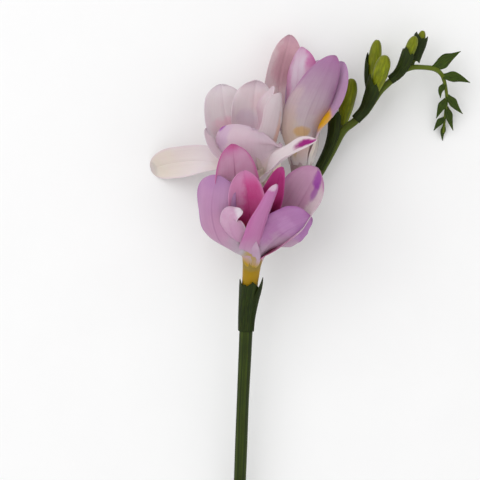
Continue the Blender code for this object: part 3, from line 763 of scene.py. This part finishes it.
def blade(grid, shares, across, middle, edge):
    """A closed thin solid on both sides of a grid, thinner towards its margins."""
    rows, columns = grid.shape[:2]
    rim = np.maximum(np.abs(across)[None, :] ** 4, ease((shares[:, None] - 0.82) / 0.18))
    thickness = middle + (edge - middle) * rim
    normals = grid_normals(grid) * thickness[:, :, None] / 2
    points = np.concatenate([(grid + normals).reshape(-1, 3), (grid - normals).reshape(-1, 3)])
    points[:, 2] = np.maximum(points[:, 2], 0.0)
    uv = np.stack(np.meshgrid((across + 1) / 2, shares), axis=2).reshape(-1, 2)
    uv = np.concatenate([uv, uv])
    size = rows * columns
    inner = np.concatenate([np.ones(size), np.zeros(size)])
    faces = []
    for i in range(rows - 1):
        for j in range(columns - 1):
            a = i * columns + j
            b, c, d = a + 1, a + columns + 1, a + columns
            faces += [(a, d, c, b), (a + size, b + size, c + size, d + size)]
    ring = list(range(columns))
    ring += [i * columns + columns - 1 for i in range(1, rows)]
    ring += [(rows - 1) * columns + j for j in range(columns - 2, -1, -1)]
    ring += [i * columns for i in range(rows - 2, 0, -1)]
    for a, b in zip(ring, ring[1:] + ring[:1]):
        faces.append((a, b, b + size, a + size))
    return points, faces, uv, inner


def rod(line, sides, shape=None):
    """A closed solid round a line of x, y, z, radius; shape(u, phi) scales its radius."""
    facing = tangents(line)
    front, _ = axes_across(facing[0])
    points, uv = [], []
    for i, (station, along) in enumerate(zip(line, facing)):
        u = i / (len(line) - 1)
        front = unit(front - np.dot(front, along) * along)
        right = np.cross(along, front)
        for k in range(sides):
            phi = 2 * math.pi * (k + 0.5) / sides
            radius = station[3] * (shape(u, phi) if shape else 1)
            points.append(station[:3] + radius * (math.cos(phi) * front + math.sin(phi) * right))
            uv.append((k / sides, u))
    faces = []
    for i in range(len(line) - 1):
        for k in range(sides):
            a, b = i * sides + k, i * sides + (k + 1) % sides
            faces.append((a, b, b + sides, a + sides))
    last = (len(line) - 1) * sides
    for ring, turn in ((0, -1), (last, 1)):
        centre = len(points)
        points.append(np.mean(points[ring : ring + sides], axis=0))
        uv.append((0.5, ring / max(last, 1)))
        for k in range(sides):
            a, b = ring + k, ring + (k + 1) % sides
            faces.append((a, b, centre) if turn > 0 else (b, a, centre))
    return np.array(points), faces, np.array(uv), np.zeros(len(points))


def tube(bloom, sides, rings):
    """The tube of a bloom: a ribbed funnel with a closed foot and an open throat."""
    base, throat = np.asarray(bloom.base), np.asarray(bloom.throat)
    axis = unit(throat - base)
    front, right = axes_across(axis)
    length = np.linalg.norm(throat - base)
    outside = [(t, tube_radius(bloom, t)) for t in np.linspace(0, 1, rings)]
    inside = [(t, tube_radius(bloom, t) - WALL) for t in np.linspace(1, FLOOR, rings // 2)]
    points, uv = [], []
    for t, radius in outside + inside:
        for k in range(sides):
            phi = 2 * math.pi * k / sides
            ribbed = radius * (1 + 0.03 * math.cos(6 * phi) * t)
            outward = math.cos(phi) * front + math.sin(phi) * right
            points.append(base + axis * t * length + ribbed * outward)
            uv.append((0.5, 0.26 * t - 0.13))
    faces = []
    count = rings + rings // 2
    for i in range(count - 1):
        for k in range(sides):
            a, b = i * sides + k, i * sides + (k + 1) % sides
            faces.append((a, b, b + sides, a + sides))
    last = (count - 1) * sides
    faces.append(tuple(range(sides - 1, -1, -1)))
    faces.append(tuple(last + k for k in range(sides)))
    return np.array(points), faces, np.array(uv), np.zeros(len(points))


class Graph:
    """A node material under construction."""

    def __init__(self, name):
        self.material = bpy.data.materials.new(name)
        self.material.use_nodes = True
        self.tree = self.material.node_tree
        self.shader = self.tree.nodes["Principled BSDF"]

    def put(self, socket, value):
        if isinstance(value, bpy.types.NodeSocket):
            self.tree.links.new(value, socket)
        else:
            socket.default_value = value

    def node(self, kind, inputs=None, **settings):
        made = self.tree.nodes.new(kind)
        for key, value in settings.items():
            setattr(made, key, value)
        for key, value in (inputs or {}).items():
            self.put(made.inputs[key], value)
        return made

    def maths(self, operation, *values, clamp=False):
        made = self.node("ShaderNodeMath", operation=operation, use_clamp=clamp)
        for socket, value in zip(made.inputs, values):
            self.put(socket, value)
        return made.outputs[0]

    def span(self, value, low, high, bottom=0.0, top=1.0):
        """A soft step from bottom to top as value goes from low to high."""
        made = self.node("ShaderNodeMapRange", interpolation_type="SMOOTHSTEP")
        keys = ("Value", "From Min", "From Max", "To Min", "To Max")
        for key, given in zip(keys, (value, low, high, bottom, top)):
            self.put(made.inputs[key], given)
        return made.outputs["Result"]

    def mix(self, share, first, second, blend="MIX"):
        made = self.node("ShaderNodeMix", data_type="RGBA", blend_type=blend)
        self.put(made.inputs[0], share)
        self.put(made.inputs[6], first)
        self.put(made.inputs[7], second)
        return made.outputs[2]

    def ramp(self, value, stops):
        made = self.node("ShaderNodeValToRGB")
        ramp = made.color_ramp
        ramp.elements[0].position, ramp.elements[0].color = stops[0]
        ramp.elements[1].position, ramp.elements[1].color = stops[-1]
        for position, colour in stops[1:-1]:
            ramp.elements.new(position).color = colour
        self.put(made.inputs[0], value)
        return made.outputs[0]

    def noise(self, vector, scale, detail=3.0, roughness=0.5):
        inputs = {"Vector": vector, "Scale": scale, "Detail": detail, "Roughness": roughness}
        made = self.node("ShaderNodeTexNoise", inputs)
        return made.outputs["Fac"]

    def bump(self, height, strength, distance, normal=None):
        inputs = {"Strength": strength, "Distance": distance, "Height": height}
        made = self.node("ShaderNodeBump", inputs)
        if normal is not None:
            self.put(made.inputs["Normal"], normal)
        return made.outputs[0]

    def lanes(self):
        """Where a point is on a piece: its place across and along, and object coordinates."""
        place = self.node("ShaderNodeUVMap", uv_map="place")
        parts = self.node("ShaderNodeSeparateXYZ", {"Vector": place.outputs[0]})
        spot = self.node("ShaderNodeTexCoord").outputs["Object"]
        return parts.outputs[0], parts.outputs[1], spot

    def stretched(self, across, along, wide, long, seed):
        """A vector for streaks that run along a piece."""
        x = self.maths("MULTIPLY", across, wide)
        y = self.maths("MULTIPLY", along, long)
        return self.node("ShaderNodeCombineXYZ", {"X": x, "Y": y, "Z": seed}).outputs[0]


def petal_material(name, look, seed):
    """Petal tissue: a colour run from tube to tip, tinted margins, soft marks, veins and grain."""
    g = Graph(name)
    across, along, spot = g.lanes()
    drift = g.maths("MULTIPLY", g.maths("SUBTRACT", g.noise(spot, DRIFT_SCALE, 3.0), 0.5), 0.2)
    height = g.maths("ADD", along, drift)
    stops = [(0.0, look.tube), (0.05, look.tube), (0.13, look.base), (0.46, look.body)]
    colour = g.ramp(height, [*stops, (1.0, look.tip)])
    blotch = g.span(g.noise(spot, BLOTCH_SCALE, 4.0, 0.6), 0.35, 0.7)
    colour = g.mix(g.maths("MULTIPLY", blotch, 0.16), colour, look.edge)
    from_mid = g.maths("ABSOLUTE", g.maths("SUBTRACT", across, 0.5))
    off_centre = g.maths("ADD", g.maths("MULTIPLY", from_mid, 2.0), drift)
    edge = g.span(off_centre, 1.0 - look.edge_width * 2, 1.05)
    edge = g.maths("MULTIPLY", edge, g.span(along, 0.25, 0.6))
    rim = g.maths("MAXIMUM", edge, g.span(height, 1.0 - look.edge_width, 1.03))
    colour = g.mix(g.maths("MULTIPLY", rim, 0.85), colour, look.edge)
    ragged = g.maths("SUBTRACT", g.noise(spot, RAGGED_SCALE, 4.0, 0.6), 0.5)
    ragged = g.maths("MULTIPLY", ragged, 1.6)
    for mark in look.marks:
        wide = g.maths("DIVIDE", g.maths("SUBTRACT", across, mark.across), mark.wide)
        long = g.maths("DIVIDE", g.maths("SUBTRACT", along, mark.along), mark.long)
        reach = g.maths("ADD", g.maths("MULTIPLY", wide, wide), g.maths("MULTIPLY", long, long))
        inside = g.span(g.maths("ADD", reach, ragged), 1.2, 0.15)
        colour = g.mix(g.maths("MULTIPLY", inside, mark.share), colour, mark.colour)
    inner = g.node("ShaderNodeAttribute", attribute_name="inner").outputs["Fac"]
    throat = g.span(height, look.throat_reach, look.throat_reach * 0.35)
    colour = g.mix(g.maths("MULTIPLY", inner, throat), colour, look.throat)
    veins = g.noise(g.stretched(across, along, 30.0, 2.2, seed), 1.0, 4.0, 0.6)
    streak = g.span(veins, 0.44, 0.7)
    colour = g.mix(g.maths("MULTIPLY", streak, 0.08), colour, look.edge, "MULTIPLY")
    rib = g.maths("MULTIPLY", g.span(from_mid, 0.03, 0.0), g.span(along, 1.05, 0.5))
    colour = g.mix(g.maths("MULTIPLY", rib, look.rib), colour, look.edge, "MULTIPLY")
    g.put(g.shader.inputs["Base Color"], colour)
    grain = g.noise(spot, GRAIN_SCALE, 2.0)
    g.put(g.shader.inputs["Roughness"], g.span(grain, 0.2, 0.8, 0.42, 0.62))
    normal = g.bump(veins, 0.2, 0.0004)
    g.put(g.shader.inputs["Normal"], g.bump(grain, 0.12, 0.0001, normal))
    g.shader.inputs["Subsurface Weight"].default_value = 0.35
    g.shader.inputs["Subsurface Radius"].default_value = (1.0, 0.7, 0.8)
    g.shader.inputs["Subsurface Scale"].default_value = 0.0016
    g.shader.inputs["Sheen Weight"].default_value = 0.05
    g.shader.inputs["Specular IOR Level"].default_value = 0.2
    return g.material


def green_material(name, dark, light, tip, seed, ribs=26.0):
    """Tissue of stems, bracts, buds and stamens: lengthwise streaks, patches and a waxy skin."""
    g = Graph(name)
    across, along, spot = g.lanes()
    streak = g.noise(g.stretched(across, along, ribs, 3.0, seed), 1.0, 4.0, 0.6)
    patch = g.noise(spot, PATCH_SCALE, 3.0)
    colour = g.mix(g.span(streak, 0.36, 0.66), dark, light)
    colour = g.mix(g.maths("MULTIPLY", g.span(patch, 0.4, 0.7), 0.5), colour, dark)
    colour = g.mix(g.maths("MULTIPLY", g.span(along, 0.55, 1.0), 0.55), colour, tip)
    speck = g.span(g.noise(spot, SPECK_SCALE, 2.0), 0.62, 0.75)
    colour = g.mix(g.maths("MULTIPLY", speck, 0.25), colour, light)
    g.put(g.shader.inputs["Base Color"], colour)
    g.put(g.shader.inputs["Roughness"], g.span(streak, 0.3, 0.7, 0.36, 0.56))
    normal = g.bump(streak, 0.5, 0.0004)
    pores = g.noise(spot, PORE_SCALE, 2.0)
    g.put(g.shader.inputs["Normal"], g.bump(pores, 0.15, 0.0001, normal))
    g.shader.inputs["Subsurface Weight"].default_value = 0.12
    g.shader.inputs["Subsurface Scale"].default_value = 0.001
    g.shader.inputs["Specular IOR Level"].default_value = 0.15
    return g.material


def make(name, solid, material, node):
    """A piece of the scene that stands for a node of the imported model."""
    points, faces, uv, inner = solid
    mesh = bpy.data.meshes.new(name)
    mesh.from_pydata(((points - FOOTPRINT_CENTRE) * MM).tolist(), [], faces)
    layer = mesh.uv_layers.new(name="place")
    corners = np.zeros(len(mesh.loops), dtype=np.int32)
    mesh.loops.foreach_get("vertex_index", corners)
    layer.data.foreach_set("uv", np.asarray(uv, np.float32)[corners].ravel())
    side = mesh.attributes.new("inner", "FLOAT", "POINT")
    side.data.foreach_set("value", np.asarray(inner, np.float32))
    mesh.polygons.foreach_set("use_smooth", [True] * len(mesh.polygons))
    mesh.materials.append(material)
    piece = bpy.data.objects.new(name, mesh)
    bpy.context.scene.collection.objects.link(piece)
    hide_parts(node)
    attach(piece, "root")
    return piece


def stem():
    """The stem and rachis, with its ovaries and the small bracts at the tip."""
    green = green_material("stem_green", *STEM_GREENS, 1.0, STEM_RIBS)
    young = green_material("tip_green", *TIP_GREENS, 2.0)

    def ridges(u, phi):
        wide, fine = math.cos(5 * phi + 2 * u), math.cos(9 * phi - 5 * u)
        return 1 + 0.018 * wide + 0.012 * fine + 0.012 * math.sin(60 * u)

    line = smooth(STEM_ROUTE, np.linspace(0, 1, STEM_RINGS))
    solid = rod(line, STEM_SIDES, ridges)
    solid[0][:, 2] = np.maximum(solid[0][:, 2], 0.0)
    make("stem_shaft", solid, green, "stem")
    feet = {bloom.name: (bloom.base, np.subtract(bloom.throat, bloom.base)) for bloom in BLOOMS}
    feet |= {bud.name: (bud.route[0], np.subtract(bud.route[1], bud.route[0])) for bud in BUDS}
    for name, (foot, axis) in feet.items():
        root = OVARY_ROOTS[name]
        seat = [(*(np.asarray(foot) - unit(axis) * step), root[3]) for step in (3.0, 1.6, 0.9, 0.1)]
        line = smooth([root, *seat], np.linspace(0, 1, OVARY_RINGS))
        make(f"ovary_{name}", rod(line, OVARY_SIDES), green, "stem")
    for i, leaflet in enumerate(TIP_BRACTS):
        grid = leaflet_grid(leaflet, LEAFLET_ROWS, LEAFLET_COLUMNS)
        solid = blade(*grid, BRACT_THICKNESS, LEAFLET_EDGE)
        make(f"tip_bract_{i}", solid, young, "stem")


def bracts():
    """The bracts that clasp the blooms and buds."""
    green = green_material("bract_green", *BRACT_GREENS, 5.0)
    for node, blades in BRACTS.items():
        for i, bract in enumerate(blades):
            grid = bract_grid(bract, BRACT_ROWS, BRACT_COLUMNS)
            make(f"{node}_{i}", blade(*grid, BRACT_THICKNESS, BRACT_EDGE), green, node)


def buds():
    """The closed buds, each of folded petals whose seams wind round it."""
    skin = green_material("bud_skin", *BUD_GREENS, 9.0, BUD_RIBS)
    for bud in BUDS:
        u = np.linspace(0, 1, BUD_RINGS)
        swell = 0.7 + 0.3 * ease(u / 0.5)
        close = np.sqrt(np.maximum(1 - (np.maximum(u - 0.62, 0) / 0.39) ** 2.4, 0.02))
        line = np.column_stack([smooth(bud.route, u), bud.radius * swell * close])

        def folds(u, phi):
            seam = abs(math.sin(1.5 * (phi + 0.7 * u)))
            return 1 + 0.06 * math.cos(3 * phi) - 0.07 * (1 - seam) ** 6

        make(bud.name, rod(line, BUD_SIDES, folds), skin, bud.name)


def blooms():
    """The open blooms: a tube and its petals each."""
    for bloom in BLOOMS:
        node = f"{bloom.name}_perianth"
        funnel = petal_material(f"{bloom.name}_tube", LOOKS[bloom.name], 3.0)
        make(f"{bloom.name}_tube", tube(bloom, TUBE_SIDES, TUBE_RINGS), funnel, node)
        for i, petal in enumerate(bloom.petals):
            name = f"{bloom.name}_petal_{i}"
            material = petal_material(name, LOOKS[petal.look], 7.0 * i)
            grid = petal_grid(bloom, petal, PETAL_ROWS, PETAL_COLUMNS, name)
            make(name, blade(*grid, PETAL_THICKNESS, PETAL_EDGE), material, node)


def stamens():
    """The style and stamens in each throat."""
    cream = green_material("stamen_cream", *THREAD_CREAMS, 4.0)
    pollen = green_material("pollen", *POLLEN_CREAMS, 6.0)
    for bloom in BLOOMS:
        node = f"{bloom.name}_stamens"
        base, throat = np.asarray(bloom.base), np.asarray(bloom.throat)
        axis = unit(throat - base)
        front, right = axes_across(axis)
        length = np.linalg.norm(throat - base)
        foot = base + axis * (FLOOR * length + 0.1)
        reach = (1 - FLOOR) * length + STAMEN_REACH
        top = foot + axis * (reach + 1.5)
        threads, anthers = [[(*foot, 0.45), (*top, 0.35)]], []
        for k in range(3):
            phi = math.radians(120 * k + 200)
            lean = math.cos(phi) * front + math.sin(phi) * right
            tip = foot + axis * reach + lean * 0.9
            anther = tip - axis * 4.6
            threads.append([(*(foot + axis * 0.3 + lean * 0.3), 0.34), (*anther, 0.28)])
            anthers.append([
                (*(anther - axis * 0.4), 0.3),
                (*(anther + axis * 1.2), 0.72),
                (*(tip - axis * 0.8), 0.66),
                (*tip, 0.25),
            ])
            phi = math.radians(120 * k + 260)
            lean = math.cos(phi) * front + math.sin(phi) * right
            threads.append([(*(top - axis * 0.5), 0.33), (*(top + axis * 1.6 + lean * 1.8), 0.24)])
        for i, line in enumerate(threads):
            solid = rod(smooth(line, np.linspace(0, 1, THREAD_RINGS)), THREAD_SIDES)
            make(f"{bloom.name}_thread_{i}", solid, cream, node)
        for i, line in enumerate(anthers):
            solid = rod(smooth(line, np.linspace(0, 1, ANTHER_RINGS)), ANTHER_SIDES)
            make(f"{bloom.name}_anther_{i}", solid, pollen, node)


def table():
    """The pale table under the stem."""
    mesh = bpy.data.meshes.new("table")
    ways = ((-1, -1), (1, -1), (1, 1), (-1, 1))
    corners = [(x * TABLE_REACH, y * TABLE_REACH, 0) for x, y in ways]
    mesh.from_pydata(corners, [], [(0, 1, 2, 3)])
    g = Graph("table_white")
    spot = g.node("ShaderNodeTexCoord").outputs["Object"]
    white = g.mix(g.noise(spot, TABLE_SCALE), srgb(246, 246, 246), srgb(250, 250, 250))
    g.put(g.shader.inputs["Base Color"], white)
    g.shader.inputs["Roughness"].default_value = 0.9
    mesh.materials.append(g.material)
    board = bpy.data.objects.new("table", mesh)
    bpy.context.scene.collection.objects.link(board)


def light(name, place, size, power):
    """A soft square lamp that faces the blooms."""
    lamp = bpy.data.lights.new(name, "AREA")
    lamp.size = size
    lamp.energy = power
    holder = bpy.data.objects.new(name, lamp)
    bpy.context.scene.collection.objects.link(holder)
    holder.location = place
    aim = unit(np.subtract(LAMP_AIM, place))
    holder.rotation_euler = (math.acos(-aim[2]), 0, math.atan2(aim[1], aim[0]) - math.pi / 2)


def studio():
    """Soft light and the camera straight above."""
    world = bpy.data.worlds.new("studio")
    bpy.context.scene.world = world
    world.use_nodes = True
    sky = world.node_tree.nodes["Background"]
    sky.inputs[0].default_value = (1, 1, 1, 1)
    sky.inputs[1].default_value = SKY_STRENGTH
    for lamp in LAMPS:
        light(*lamp)
    bpy.context.scene.view_settings.view_transform = "Standard"
    lens = bpy.data.cameras.new("camera")
    lens.sensor_width = SENSOR_WIDTH
    lens.lens = SENSOR_WIDTH * VIEW_DISTANCE / VIEW_WIDTH
    camera = bpy.data.objects.new("camera", lens)
    bpy.context.scene.collection.objects.link(camera)
    camera.location = (VIEW_CENTRE - FOOTPRINT_CENTRE + UP * VIEW_DISTANCE) * MM
    bpy.context.scene.camera = camera


stem()
bracts()
buds()
blooms()
stamens()
table()
studio()
